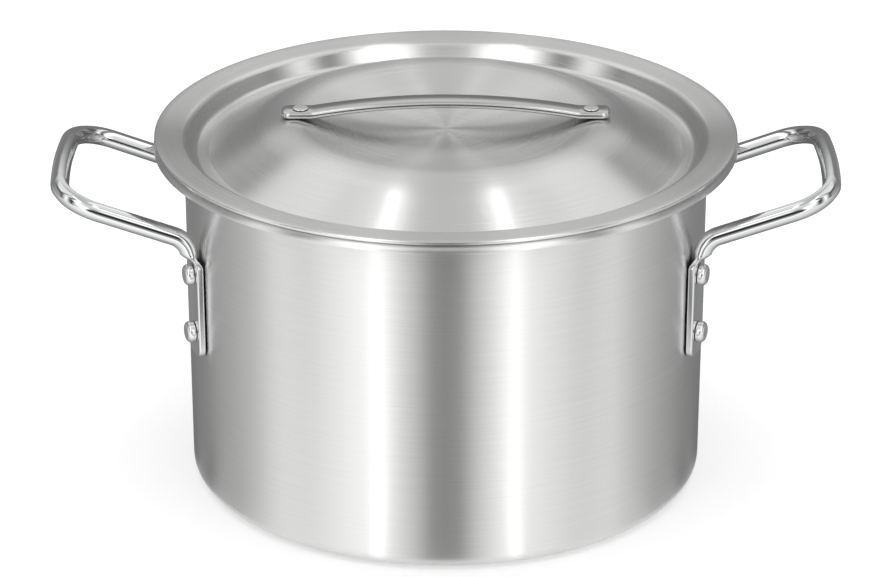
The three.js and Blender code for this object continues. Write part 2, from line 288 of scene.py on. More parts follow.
def apply_modifier(piece: bpy.types.Object, kind: str, **settings: object) -> None:
    """Adds a modifier with its settings and applies it.

    Args:
        piece: The object to change.
        kind: The modifier's type name.
        settings: The modifier's own properties.
    """
    pick(piece)
    modifier = piece.modifiers.new(kind.lower(), kind)
    for name, value in settings.items():
        setattr(modifier, name, value)
    bpy.ops.object.modifier_apply(modifier=modifier.name)


def thicken(piece: bpy.types.Object, sheet: float, looks: Vector) -> None:
    """Gives an open surface its thickness, on the side that its outer face doesn't look to.

    Args:
        piece: The open surface.
        sheet: The thickness in millimetres.
        looks: The direction in which the face nearest to the Z axis looks, if it is the outer one.
    """
    middle = min(piece.data.polygons, key=lambda face: face.center.to_2d().length)
    if middle.normal.dot(looks) < 0:
        with editing(piece):
            bpy.ops.mesh.select_all(action="SELECT")
            bpy.ops.mesh.flip_normals()
    apply_modifier(piece, "SOLIDIFY", thickness=sheet * MM, offset=-1, use_even_offset=True)
    with editing(piece):
        close_up()


def turn_on_lathe(name: str, corners: list[Corner], sides: int, longest_step: float) -> bpy.types.Object:
    """Draws a profile and spins it round Z.

    Args:
        name: The piece's name.
        corners: The profile's corners, at Y = 0.
        sides: The steps of a full turn.
        longest_step: The longest step along the profile, in millimetres.

    Returns:
        The spun surface, with its faces outwards.
    """
    piece = draw_line(name, corners)
    with editing(piece):
        split_long_edges(piece, longest_step * MM)
        bpy.ops.mesh.select_all(action="SELECT")
        bpy.ops.mesh.spin(steps=sides, angle=2 * math.pi, center=(0, 0, 0), axis=(0, 0, 1))
        close_up()
    return piece


def soften_edges(piece: bpy.types.Object, width: float, sharper_than: float = 40) -> None:
    """Rounds the sharp edges of a finished piece.

    Args:
        piece: The object to change.
        width: The bevel's width in millimetres.
        sharper_than: The angle in degrees from which an edge counts as sharp.
    """
    apply_modifier(
        piece,
        "BEVEL",
        width=width * MM,
        segments=4,
        limit_method="ANGLE",
        angle_limit=math.radians(sharper_than),
        use_clamp_overlap=True,
    )


def set_in_place(piece: bpy.types.Object, place: Matrix) -> None:
    """Moves a piece to a place and puts that place into its mesh."""
    pick(piece)
    piece.matrix_world = place
    bpy.ops.object.transform_apply(location=True, rotation=True, scale=True)


def copy_of(piece: bpy.types.Object, name: str) -> bpy.types.Object:
    """Copies a piece with a mesh of its own.

    Args:
        piece: The object to copy.
        name: The copy's name.

    Returns:
        The copy.
    """
    pick(piece)
    bpy.ops.object.duplicate()
    copy = bpy.context.object
    copy.name = name
    copy.data.name = name
    return copy


def dress(piece: bpy.types.Object, material: bpy.types.Material, smooth_below: float = 35) -> None:
    """Gives a piece its finish and smooth shading.

    Args:
        piece: The finished object.
        material: Its finish.
        smooth_below: The angle in degrees below which an edge is shaded smooth.
    """
    pick(piece)
    piece.data.materials.clear()
    piece.data.materials.append(material)
    bpy.ops.object.shade_smooth_by_angle(angle=math.radians(smooth_below))


def attach(piece: bpy.types.Object, body: str, node: str) -> None:
    """Puts a finished piece on its body, in the place of its CAD node.

    Args:
        piece: The finished object.
        body: The CAD body that it rides on.
        node: The CAD node that it stands for.
    """
    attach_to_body(piece, body)
    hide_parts(node)
    log.info("%s: %d faces, on %s", piece.name, len(piece.data.polygons), body)


# Finishes


@dataclass(frozen=True)
class BrushedAluminium:
    """Aluminium sheet, brushed or spun in rings.

    The fine rings spread each light across them, so a wall shows upright bands and a lid shows bright
    rays through its centre. Single strokes are seen as faint streaks.
    """

    name: str
    grain: Grain
    colour: str = "#F1F1F0"
    streak_colour: str = "#DDDDDC"
    roughness: float = 0.32
    roughness_spread: float = 0.04
    anisotropy: float = 1.0
    # Real strokes are about 0.1 mm wide: they are drawn wider, because finer ones don't show
    streak_width_mm: float = 0.7
    streak_length_mm: float = 45.0
    relief_mm: float = 0.004

    def material(self) -> bpy.types.Material:
        """Builds the finish.

        Returns:
            The new material.
        """
        material = bpy.data.materials.new(self.name)
        tree = new_tree(material)
        place = add_node(tree, "ShaderNodeTexCoord").outputs["Object"]
        axes = add_node(tree, "ShaderNodeSeparateXYZ", {0: place}).outputs
        minus_y = add_node(tree, "ShaderNodeMath", {0: axes["Y"], 1: -1.0}, operation="MULTIPLY")
        ring = add_node(tree, "ShaderNodeCombineXYZ", {"X": minus_y.outputs[0], "Y": axes["X"], "Z": 0.0})
        along_ring = add_node(
            tree,
            "ShaderNodeVectorTransform",
            {"Vector": ring.outputs[0]},
            vector_type="NORMAL",
            convert_from="OBJECT",
            convert_to="WORLD",
        )
        across = 1 / (self.streak_width_mm * MM)
        along = 1 / (self.streak_length_mm * MM)
        if self.grain is Grain.ROUND_THE_WALL:
            stretched = add_node(
                tree, "ShaderNodeMapping", {"Vector": place, "Scale": (along, along, across)}
            ).outputs[0]
        else:
            flat = add_node(tree, "ShaderNodeCombineXYZ", {"X": axes["X"], "Y": axes["Y"], "Z": 0.0})
            radius = add_node(tree, "ShaderNodeVectorMath", {0: flat.outputs[0]}, operation="LENGTH")
            rings = add_node(
                tree, "ShaderNodeMath", {0: radius.outputs["Value"], 1: across}, operation="MULTIPLY"
            )
            spokes = add_node(tree, "ShaderNodeVectorMath", {0: flat.outputs[0]}, operation="NORMALIZE")
            turns = add_node(tree, "ShaderNodeSeparateXYZ", {0: spokes.outputs[0]}).outputs
            stretched = add_node(
                tree, "ShaderNodeCombineXYZ", {"X": turns["X"], "Y": turns["Y"], "Z": rings.outputs[0]}
            ).outputs[0]
        streaks = add_node(
            tree,
            "ShaderNodeTexNoise",
            {"Vector": stretched, "Scale": 1.0, "Detail": 3.0, "Roughness": 0.6},
        ).outputs["Fac"]
        colour = add_node(
            tree,
            "ShaderNodeMix",
            {"Factor": streaks, "A": linear(self.streak_colour), "B": linear(self.colour)},
            data_type="RGBA",
        )
        gloss = add_node(
            tree,
            "ShaderNodeMapRange",
            {
                "Value": streaks,
                "To Min": self.roughness - self.roughness_spread,
                "To Max": self.roughness + self.roughness_spread,
            },
        )
        relief = add_node(
            tree,
            "ShaderNodeBump",
            {"Height": streaks, "Strength": 0.25, "Distance": self.relief_mm * MM},
        )
        shader = add_node(
            tree,
            "ShaderNodeBsdfPrincipled",
            {
                "Base Color": colour.outputs["Result"],
                "Metallic": 1.0,
                "Roughness": gloss.outputs[0],
                "Anisotropic": self.anisotropy,
                "Anisotropic Rotation": 0.25,
                "Tangent": along_ring.outputs[0],
                "Normal": relief.outputs[0],
            },
        )
        add_node(tree, "ShaderNodeOutputMaterial", {"Surface": shader.outputs[0]})
        return material


@dataclass(frozen=True)
class PolishedMetal:
    """Bar, strap or rivet metal with a polished or satin face.

    It mirrors the studio, and a faint waviness and fine handling marks keep it from looking like glass.
    """

    name: str
    colour: str
    roughness: float
    roughness_spread: float
    wave_length_mm: float = 9.0
    wave_relief_mm: float = 0.01
    # Handling marks are hair-fine: they are drawn wider, because finer ones don't show
    mark_size_mm: float = 1.2

    def material(self) -> bpy.types.Material:
        """Builds the finish.

        Returns:
            The new material.
        """
        material = bpy.data.materials.new(self.name)
        tree = new_tree(material)
        place = add_node(tree, "ShaderNodeTexCoord").outputs["Object"]
        marks = add_node(
            tree,
            "ShaderNodeTexNoise",
            {"Vector": place, "Scale": 1 / (self.mark_size_mm * MM), "Detail": 4.0},
        ).outputs["Fac"]
        waves = add_node(
            tree,
            "ShaderNodeTexNoise",
            {"Vector": place, "Scale": 1 / (self.wave_length_mm * MM), "Detail": 1.0},
        ).outputs["Fac"]
        gloss = add_node(
            tree,
            "ShaderNodeMapRange",
            {
                "Value": marks,
                "To Min": self.roughness - self.roughness_spread,
                "To Max": self.roughness + self.roughness_spread,
            },
        )
        relief = add_node(
            tree,
            "ShaderNodeBump",
            {"Height": waves, "Strength": 0.3, "Distance": self.wave_relief_mm * MM},
        )
        shader = add_node(
            tree,
            "ShaderNodeBsdfPrincipled",
            {
                "Base Color": linear(self.colour),
                "Metallic": 1.0,
                "Roughness": gloss.outputs[0],
                "Normal": relief.outputs[0],
            },
        )
        add_node(tree, "ShaderNodeOutputMaterial", {"Surface": shader.outputs[0]})
        return material


POT_ALUMINIUM = BrushedAluminium("aluminium_brushed_round_the_wall", Grain.ROUND_THE_WALL)
LID_ALUMINIUM = BrushedAluminium("aluminium_spun_on_a_lathe", Grain.ROUND_THE_CENTRE, roughness=0.26)
HANDLE_STEEL = PolishedMetal("steel_bar_polished_bright", "#E2E3E3", 0.06, 0.005)
STRAP_STEEL = PolishedMetal("steel_strap_satin", "#CDCDCC", 0.17, 0.03)
RIVET_ALUMINIUM = PolishedMetal("aluminium_rivet_smooth", "#EAEAE9", 0.25, 0.03)


# The pot


@dataclass
class PotShell:
    """The drawn pot: base, wall and turned-down rim. Sizes in millimetres."""

    base_radius: float = 138.8
    top_radius: float = 140.0
    height: float = 190.5
    sheet: float = 2.8
    base_corner: float = 8.0
    rim_reach: float = 15.995
    flare_radius: float = 5.0
    lip_depth: float = 4.3
    lip_bend: float = 0.8
    lip_edge: float = 1.2
    sides: int = 240
    longest_step: float = 7.0

    @property
    def rim_radius(self) -> float:
        """Outer radius of the rim."""
        return self.top_radius + self.rim_reach

    @property
    def rim_underside(self) -> float:
        """Height of the rim's underside."""
        return self.height - self.sheet

    @property
    def taper(self) -> float:
        """Angle by which the wall leans outwards."""
        return math.atan2(self.top_radius - self.base_radius, self.rim_underside)

    def wall_radius(self, height: float) -> float:
        """Outer radius of the wall at a height."""
        return self.base_radius + height * math.tan(self.taper)

    def build(self) -> bpy.types.Object:
        """Models the shell: the outer line is spun, and the sheet gets its thickness inwards.

        Returns:
            The finished object.
        """
        lip_inner = self.rim_radius - self.sheet
        outer_line = [
            Corner((0, 0, 0)),
            Corner((self.base_radius, 0, 0), self.base_corner),
            Corner((self.top_radius, 0, self.rim_underside), self.flare_radius),
            Corner((lip_inner, 0, self.rim_underside), self.lip_bend),
            Corner((lip_inner, 0, self.height - self.lip_depth)),
        ]
        piece = turn_on_lathe("pot_body", outer_line, self.sides, self.longest_step)
        thicken(piece, self.sheet, DOWN)
        soften_edges(piece, self.lip_edge)
        dress(piece, POT_ALUMINIUM.material())
        attach(piece, "pot", "pot_shell")
        return piece


@dataclass
class Rivets:
    """The shape of one kind of rivet: head, shank and tail. Sizes in millimetres."""

    head_radius: float
    head_height: float
    head_round: float
    shank_radius: float
    grip: float
    seat_gap: float = 0.3
    tail_gap: float = 0.45
    tail_height: float = 1.5
    tail_over_shank: float = 1.8
    sides: int = 48

    def build(self, name: str) -> bpy.types.Object:
        """Models a rivet along Z, with the seat of its head at Z = 0.

        Args:
            name: The piece's name.

        Returns:
            The finished object.
        """
        tail_radius = self.shank_radius + self.tail_over_shank
        tail_top = -self.grip - self.tail_gap
        tail_bottom = tail_top - self.tail_height
        profile = [
            Corner((0, 0, tail_bottom)),
            Corner((tail_radius, 0, tail_bottom), self.tail_height / 2),
            Corner((tail_radius, 0, tail_top)),
            Corner((self.shank_radius, 0, tail_top)),
            Corner((self.shank_radius, 0, self.seat_gap)),
            Corner((self.head_radius, 0, self.seat_gap), 0.15),
            Corner((self.head_radius, 0, self.head_height), self.head_round),
            Corner((0, 0, self.head_height)),
        ]
        return turn_on_lathe(name, profile, self.sides, self.head_radius)


@dataclass
class SideHandle:
    """A side handle: a round bar, pressed flat at its ends and bent to a loop. Sizes in millimetres."""

    pot: PotShell
    bar_radius: float = 5.0
    reach: float = 205.3
    grip_span: float = 105.6
    leg_span: float = 103.4
    bend_height: float = 150.2
    bend_radius: float = 11.0
    corner_radius: float = 22.0
    grip_lean_degrees: float = 3.5
    grip_bow_radius: float = 400.0
    rise_degrees: float = 19.2
    leg_width: float = 18.5
    leg_thickness: float = 3.7
    leg_bottom: float = 85.0
    leg_end_radius: float = 5.0
    leg_edge: float = 1.1
    shoulder_length: float = 8.0
    shoulder_below_bend: float = 6.0
    seat_gap: float = 0.3
    rivet_heights: dict[Level, float] = field(
        default_factory=lambda: {Level.UPPER: 130.8, Level.LOWER: 97.8}
    )
    bar_step: float = 2.0

    @property
    def leg_angle(self) -> float:
        """Angle of the legs from the X axis."""
        stand_off = self.bar_radius + self.seat_gap
        return math.asin(self.leg_span / 2 / (self.pot.wall_radius(self.bend_height) + stand_off))

    def outward(self, leg: Leg) -> Vector:
        """Direction straight off the wall at a leg of the right-hand handle."""
        level = math.cos(self.pot.taper)
        along_y = leg.value * math.sin(self.leg_angle)
        return Vector((level * math.cos(self.leg_angle), level * along_y, -math.sin(self.pot.taper)))

    def leg_point(self, height: float, leg: Leg) -> Vector:
        """Point on the centre line of a leg of the right-hand handle, in millimetres.

        Args:
            height: The point's height.
            leg: Which leg.

        Returns:
            The point.
        """
        radius = self.pot.wall_radius(height) + (self.bar_radius + self.seat_gap) / math.cos(self.pot.taper)
        flat = Vector((math.cos(self.leg_angle), leg.value * math.sin(self.leg_angle), 0)) * radius
        return flat + Vector((0, 0, height))

    def bench(self) -> Matrix:
        """Place of the bending bench: its X runs up the front leg and its Z straight off the wall."""
        foot = self.leg_point(self.leg_bottom, Leg.FRONT)
        along = (self.leg_point(self.bend_height, Leg.FRONT) - foot).normalized()
        off_wall = self.outward(Leg.FRONT)
        across = off_wall.cross(along)
        turn = Matrix((along, across, off_wall)).transposed()
        return Matrix.Translation(foot * MM) @ turn.to_4x4()

    def centre_line(self, bench: Matrix) -> bpy.types.Object:
        """Draws the centre line of the front half of the bar, on the bench, as a curve.

        Args:
            bench: The bench's place.

        Returns:
            The curve's object.
        """
        bend = self.leg_point(self.bend_height, Leg.FRONT)
        rise = math.radians(self.rise_degrees)
        lean = math.radians(self.grip_lean_degrees)
        bow_half = self.grip_bow_radius * math.tan(lean / 2)
        corner_drop = (self.grip_span / 2 - bow_half) * math.tan(lean) * math.cos(rise)
        stops = [self.leg_point(self.leg_bottom, Leg.FRONT), bend]
        for drop, y in ((corner_drop, -self.grip_span / 2), (0, -bow_half), (0, 0)):
            x = self.reach - drop
            stops.append(Vector((x, y, self.bend_height + (x - bend.x) * math.tan(rise))))
        radii = (0, self.bend_radius, self.corner_radius, self.grip_bow_radius, 0)
        on_bench = [bench.inverted() @ (stop * MM) / MM for stop in stops]
        line = draw_line("centre_line", [Corner(tuple(at), radius) for at, radius in zip(on_bench, radii)])
        pick(line)
        bpy.ops.object.convert(target="CURVE")
        curve = bpy.context.object
        start = curve.data.splines[0].points[0].co.to_3d()
        if start.length > PICK_DISTANCE:
            pick(curve)
            bpy.ops.object.mode_set(mode="EDIT")
            bpy.ops.curve.select_all(action="SELECT")
            bpy.ops.curve.switch_direction()
            bpy.ops.object.mode_set(mode="OBJECT")
        curve.data.dimensions = "3D"
        curve.data.twist_mode = "MINIMUM"
        return curve

    def fit_ring(self, piece: bpy.types.Object, width: float, thickness: float) -> None:
        """Scales the selected ring of the straight bar to a width and a thickness in millimetres."""
        mesh = bmesh.from_edit_mesh(piece.data)
        ring = [vertex.co for vertex in mesh.verts if vertex.select]
        spans = [max(co[axis] for co in ring) - min(co[axis] for co in ring) for axis in (1, 2)]
        bpy.ops.transform.resize(value=(1, width * MM / spans[0], thickness * MM / spans[1]))

    def straight_half(self, length: float) -> bpy.types.Object:
        """Models half of the bar before it is bent: a flat leg that swells to a round bar, along X.

        Args:
            length: The half bar's length in metres.

        Returns:
            The half bar, open at its far end.
        """
        bpy.ops.object.select_all(action="DESELECT")
        bpy.ops.mesh.primitive_plane_add(size=MM, rotation=(0, math.pi / 2, 0))
        piece = bpy.context.object
        pick(piece)
        bpy.ops.object.transform_apply(location=False, rotation=True, scale=False)
        flat_centre = self.leg_thickness / 2 - self.bar_radius
        end_steps = 8
        shoulder_steps = 12
        shoulder_start = self.bend_height - self.leg_bottom
        shoulder_start -= self.bend_radius * math.tan(math.radians(90 - self.rise_degrees) / 2)
        shoulder_start -= self.shoulder_below_bend
        with editing(piece):
            bpy.ops.mesh.select_all(action="SELECT")
            bpy.ops.mesh.delete(type="ONLY_FACE")
            bpy.ops.mesh.select_all(action="SELECT")
            self.fit_ring(piece, self.leg_width, self.leg_thickness)
            bpy.ops.transform.translate(value=(0, 0, flat_centre * MM))
            side = (self.leg_width / 2) * MM
            top = (self.bar_radius - self.leg_thickness) * MM
            for high in (-self.bar_radius * MM, -top):
                select_where(piece, lambda co: abs(co.z - high) < PICK_DISTANCE)
                bpy.ops.mesh.subdivide(number_cuts=9)
            for far in (-side, side):
                select_where(piece, lambda co: abs(co.y - far) < PICK_DISTANCE)
                bpy.ops.mesh.subdivide(number_cuts=3)
            for far in (-side, side):
                for high in (-self.bar_radius * MM, -top):
                    spot = Vector((0, far, high))
                    select_where(piece, lambda co: (co - spot).length < PICK_DISTANCE)
                    bpy.ops.mesh.bevel(offset=self.leg_edge * MM * 0.9, segments=4, affect="VERTICES")
            bpy.ops.mesh.select_all(action="SELECT")
            self.fit_ring(piece, self.leg_width - 2 * self.leg_end_radius, self.leg_thickness)
            bpy.ops.mesh.edge_face_add()
            at = 0.0
            for step in range(1, end_steps + 1):
                angle = math.pi / 2 * step / end_steps
                there = self.leg_end_radius * (1 - math.cos(angle))
                extrude(((there - at) * MM, 0, 0))
                at = there
                width = self.leg_width - 2 * self.leg_end_radius * (1 - math.sin(angle))
                self.fit_ring(piece, width, self.leg_thickness)
            extrude(((shoulder_start - at) * MM, 0, 0))
            at = shoulder_start
            roundness = 0.0
            for step in range(1, shoulder_steps + 1):
                share = step / shoulder_steps
                swell = share * share * (3 - 2 * share)
                gain = (swell - roundness) / (1 - roundness)
                lift = -flat_centre * (swell - roundness)
                extrude((self.shoulder_length / shoulder_steps * MM, 0, lift * MM))
                width = self.leg_width + (2 * self.bar_radius - self.leg_width) * swell
                thickness = self.leg_thickness + (2 * self.bar_radius - self.leg_thickness) * swell
                self.fit_ring(piece, width, thickness)
                bpy.ops.transform.tosphere(value=gain)
                self.fit_ring(piece, width, thickness)
                roundness = swell
            at += self.shoulder_length
            last = length / MM - at
            for _ in range(rings := math.ceil(last / self.bar_step)):
                extrude((last / rings * MM, 0, 0))
            bpy.ops.mesh.delete(type="ONLY_FACE")
        return piece

    def build(self) -> list[bpy.types.Object]:
        """Models the right-hand handle on the bench, mirrors its half, and copies it to the left.

        Returns:
            The two finished handles.
        """
        bench = self.bench()
        curve = self.centre_line(bench)
        length = curve.data.splines[0].calc_length()
        right = self.straight_half(length)
        right.name = "pot_handle_right"
        right.data.name = right.name
        apply_modifier(right, "CURVE", object=curve, deform_axis="POS_X")
        bpy.data.objects.remove(curve)
        set_in_place(right, bench)
        apply_modifier(right, "MIRROR", use_axis=(False, True, False), merge_threshold=SEAM_DISTANCE)
        with editing(right):
            close_up()
        soften_edges(right, 0.6, 60)
        left = copy_of(right, "pot_handle_left")
        set_in_place(left, Matrix.Rotation(Side.LEFT.value, 4, "Z"))
        material = HANDLE_STEEL.material()
        for piece, node in ((right, "right_handle"), (left, "left_handle")):
            dress(piece, material)
            attach(piece, "pot", node)
        return [right, left]

    def build_rivets(self) -> list[bpy.types.Object]:
        """Models one rivet and copies it to every leg of both handles.

        Returns:
            The finished rivets.
        """
        shape = Rivets(
            head_radius=5.7,
            head_height=4.5,
            head_round=2.4,
            shank_radius=3.0,
            grip=self.leg_thickness + self.seat_gap + self.pot.sheet,
        )
        first = shape.build("rivet")
        material = RIVET_ALUMINIUM.material()
        dress(first, material)
        pieces = []
        for side in Side:
            for leg in Leg:
                for level, height in self.rivet_heights.items():
                    off_wall = self.outward(leg)
                    seat = self.leg_point(height, leg) + off_wall * (self.leg_thickness - self.bar_radius)
                    turn = UP.rotation_difference(off_wall).to_matrix().to_4x4()
                    place = Matrix.Rotation(side.value, 4, "Z") @ Matrix.Translation(seat * MM) @ turn
                    seen = leg if side is Side.RIGHT else Leg(-leg.value)
                    ending = f"{seen.name}_{level.name}".lower()
                    hand = side.name.lower()
                    rivet = copy_of(first, f"rivet_{hand}_{ending}")
                    set_in_place(rivet, place)
                    attach(rivet, "pot", f"{hand}_handle_rivet_{ending}")
                    pieces.append(rivet)
        bpy.data.objects.remove(first)
        return pieces


# The lid


@dataclass
class Lid:
    """The lid: a pressed sheet, its strap handle and the strap's rivets. Sizes in millimetres."""

    pot: PotShell
    sheet: float = 2.0
    seat_gap: float = 0.3
    rim_inset: float = 0.5
    plug_clearance: float = 1.2
    trough_depth: float = 9.8
    trough_width: float = 7.0
    bend_radius: float = 3.2
    trough_lean: float = 4.7
    flange_bend_radius: float = 4.2
    flange_dip: float = 0.55
    flange_lift: float = 0.4
    crest_radius: float = 90.0
    crest_rise: float = 9.8
    crest_bend_radius: float = 40.0
    dish_flat_radius: float = 30.0
    dish_rise: float = 0.8
    dish_bend_radius: float = 200.0
    edge: float = 0.7
    strap_length: float = 176.0
    strap_width: float = 14.0
    strap_thickness: float = 3.7
    strap_foot: float = 17.0
    strap_rise: float = 6.19
    strap_end_radius: float = 5.0
    strap_kink_radius: float = 14.0
    strap_edge: float = 1.8
    strap_underside: float = 200.95
    rivet_margin: float = 10.5
    rivet_tail_seat: float = 198.09
    sides: int = 240
    longest_step: float = 4.0

    @property
    def flange_top(self) -> float:
        """Height of the flange's upper face."""
        return self.pot.height + self.seat_gap + self.sheet

    def build_shell(self) -> bpy.types.Object:
        """Models the pressed lid: its upper line is spun, and the sheet gets its thickness downwards.

        Returns:
            The finished object.
        """
        top = self.flange_top
        wall = self.pot.sheet / math.cos(self.pot.taper)
        plug = self.pot.top_radius - wall - self.plug_clearance - self.sheet
        floor = top - self.trough_depth
        upper_line = [
            Corner((0, 0, top + self.dish_rise)),
            Corner((self.dish_flat_radius, 0, top + self.dish_rise), self.dish_bend_radius),
            Corner((self.crest_radius, 0, top + self.crest_rise), self.crest_bend_radius),
            Corner((plug - self.trough_width, 0, floor), self.bend_radius),
            Corner((plug, 0, floor), self.bend_radius),
            Corner((plug + self.trough_lean, 0, top - self.flange_dip), self.flange_bend_radius),
            Corner((self.pot.rim_radius - self.rim_inset, 0, top + self.flange_lift)),
        ]
        piece = turn_on_lathe("lid_cover", upper_line, self.sides, self.longest_step)
        thicken(piece, self.sheet, UP)
        soften_edges(piece, self.edge)
        dress(piece, LID_ALUMINIUM.material())
        attach(piece, "lid", "lid_shell")
        return piece

    def build_strap(self) -> bpy.types.Object:
        """Models the strap: its side line is drawn, widened to a ribbon, and given its thickness.

        Returns:
            The finished object.
        """
        half = self.strap_length / 2
        half_arch = half - self.strap_foot
        arch_radius = (half_arch**2 + self.strap_rise**2) / (2 * self.strap_rise)
        arch_angle = math.asin(half_arch / arch_radius)
        low = self.strap_underside
        centre = Vector((0, -self.strap_width / 2, low + self.strap_rise - arch_radius)) * MM
        start = Vector((-half, -self.strap_width / 2, low)) * MM
        foot = Vector((self.strap_foot, 0, 0)) * MM
        piece = start_point("lid_grip", start)
        arch_steps = 48
        with editing(piece):
            bpy.ops.mesh.select_all(action="SELECT")
            extrude(foot)
            bpy.ops.mesh.spin(steps=arch_steps, angle=-2 * arch_angle, center=centre, axis=(0, 1, 0))
            extrude(foot)
            for sign in (-1, 1):
                kink = Vector((sign * half_arch * MM, start.y, start.z))
                select_where(piece, lambda co: (co - kink).length < PICK_DISTANCE)
                bpy.ops.mesh.bevel(
                    offset=self.strap_kink_radius * math.tan(arch_angle / 2) * MM,
                    segments=5,
                    affect="VERTICES",
                )
            bpy.ops.mesh.select_all(action="SELECT")
            extrude((0, self.strap_width * MM, 0))
            select_where(piece, lambda co: abs(abs(co.x) - half * MM) < PICK_DISTANCE)
            bpy.ops.mesh.bevel(offset=self.strap_end_radius * MM, segments=8, affect="VERTICES")
            close_up()
        thicken(piece, self.strap_thickness, DOWN)
        soften_edges(piece, self.strap_edge)
        dress(piece, STRAP_STEEL.material())
        attach(piece, "lid", "lid_strap")
        return piece

    def build_rivets(self) -> list[bpy.types.Object]:
        """Models one strap rivet and copies it to both feet.

        Returns:
            The finished rivets.
        """
        seat = self.strap_underside + self.strap_thickness
        shape = Rivets(
            head_radius=4.2,
            head_height=0.9,
            head_round=0.7,
            shank_radius=2.3,
            grip=seat - self.rivet_tail_seat,
        )
        first = shape.build("lid_rivet")
        dress(first, RIVET_ALUMINIUM.material())
        pieces = []
        for side, sign in ((Side.LEFT, -1), (Side.RIGHT, 1)):
            hand = side.name.lower()
            rivet = copy_of(first, f"lid_rivet_head_{hand}")
            x = sign * (self.strap_length / 2 - self.rivet_margin)
            set_in_place(rivet, Matrix.Translation(Vector((x, 0, seat)) * MM))
            attach(rivet, "lid", f"lid_rivet_{hand}")
            pieces.append(rivet)
        bpy.data.objects.remove(first)
        return pieces


# The studio


@dataclass
class Studio:
    """Camera, pale floor, soft lamp and a light tent that only the metal mirrors. Sizes in metres."""

    image_width_px: float = 887.0
    focal_px: float = 4000.0
    elevation_degrees: float = 23.55
    distance: float = 2.174
    aim: tuple[float, float, float] = (-0.00123, 0.0, 0.1002)
    floor_size: float = 60.0
    floor_drop: float = 0.0003
    floor_colour: str = "#D8D8D8"
    floor_glow: float = 0.38
    lamp_height: float = 2.2
    lamp_size: float = 2.5
    lamp_power: float = 27.0
    ambient: float = 0.8
    tent_radius: float = 2.6
    # The bands on the ground cloth spread from here, so that the round wall mirrors them upright
    half_wall_radius: float = 0.0698
    tent_floor_start: float = 0.145
    # How bright the tent's cloth is at each angle from the camera's side, in degrees. On the ground there is a
    # dark slit in front of the lens, a strip of light on either side of it, and dark rear corners
    ground_tones: tuple[tuple[float, float], ...] = (
        (-180, 0.15),
        (-166, 0.16),
        (-157, 0.32),
        (-140, 0.22),
        (-127, 0.47),
        (-110, 0.52),
        (-90, 0.84),
        (-60, 1.10),
        (-35, 1.15),
        (-30, 1.80),
        (-25, 1.10),
        (-13, 0.70),
        (-6, 0.36),
        (0, 0.31),
        (6, 0.36),
        (14, 0.78),
        (26, 1.15),
        (31, 1.70),
        (36, 1.00),
        (61, 0.98),
        (83, 0.85),
        (96, 0.75),
        (111, 0.48),
        (128, 0.42),
        (140, 0.22),
        (157, 0.32),
        (166, 0.16),
        (180, 0.15),
    )
    # The walls of the tent are open to the dark room behind the camera, dim at the back and seamed
    wall_tones: tuple[tuple[float, float], ...] = (
        (-180, 0.22),
        (-135, 0.26),
        (-110, 0.40),
        (-98, 0.40),
        (-91, 0.12),
        (-85, 0.50),
        (-77, 1.30),
        (-68, 0.50),
        (-60, 0.06),
        (-53, 0.70),
        (-40, 1.20),
        (-30, 1.60),
        (-24, 0.80),
        (-17, 0.04),
        (17, 0.04),
        (24, 0.80),
        (30, 1.60),
        (40, 1.20),
        (53, 0.70),
        (60, 0.06),
        (68, 0.50),
        (77, 1.30),
        (85, 0.50),
        (91, 0.12),
        (98, 0.40),
        (110, 0.40),
        (135, 0.26),
        (180, 0.22),
    )
    # Higher up a broad light stands on either side of the camera, and dark seams part the cloth
    roof_tones: tuple[tuple[float, float], ...] = (
        (-180, 0.84),
        (-150, 0.44),
        (-135, 0.24),
        (-115, 0.14),
        (-93, 0.12),
        (-85, 0.70),
        (-77, 1.50),
        (-69, 0.50),
        (-64, 0.06),
        (-57, 0.06),
        (-51, 0.80),
        (-44, 1.60),
        (-20, 2.60),
        (-11, 0.70),
        (-4, 0.34),
        (4, 0.34),
        (11, 0.70),
        (20, 2.60),
        (44, 1.60),
        (51, 0.80),
        (57, 0.06),
        (64, 0.06),
        (69, 0.50),
        (77, 1.50),
        (85, 0.70),
        (93, 0.12),
        (115, 0.14),
        (135, 0.24),
        (150, 0.44),
        (180, 0.84),
    )
    # Overhead the cloth is even but for the strip lights
    ceiling_tones: tuple[tuple[float, float], ...] = (
        (-180, 0.60),
        (-173, 0.70),
        (-168, 1.50),
        (-163, 0.80),
        (-130, 1.05),
        (-108, 0.95),
        (-98, 0.28),
        (-88, 0.90),
        (-80, 1.20),
        (-74, 0.22),
        (-66, 0.22),
        (-58, 1.00),
        (-45, 2.60),
        (-38, 1.20),
        (-20, 0.85),
        (20, 0.85),
        (38, 1.20),
        (45, 2.60),
        (58, 1.00),
        (66, 0.22),
        (74, 0.22),
        (80, 1.20),
        (88, 0.90),
        (98, 0.28),
        (108, 0.95),
        (130, 1.05),
        (163, 0.80),
        (168, 1.50),
        (173, 0.70),
        (180, 0.60),
    )
    # Two bright tubes run from front to back near the top, one on either side
    tube_tones: tuple[tuple[float, float], ...] = (
        (-180, 0.62),
        (-150, 0.90),
        (-140, 3.60),
        (-60, 3.60),
        (-48, 1.00),
        (-20, 0.50),
        (20, 0.50),
        (48, 1.00),
        (60, 3.60),
        (140, 3.60),
        (150, 0.90),
        (180, 0.62),
    )
    top_tones: tuple[tuple[float, float], ...] = ((-180, 0.62), (180, 0.62))
    # The heights, as shares of the tent's radius, between which each kind of cloth takes over from the last
    wall_heights: tuple[float, float] = (0.05, 0.12)
    roof_heights: tuple[float, float] = (0.40, 0.48)
    ceiling_heights: tuple[float, float] = (0.60, 0.70)
    tube_heights: tuple[float, float] = (0.960, 0.968)
    top_heights: tuple[float, float] = (0.972, 0.980)

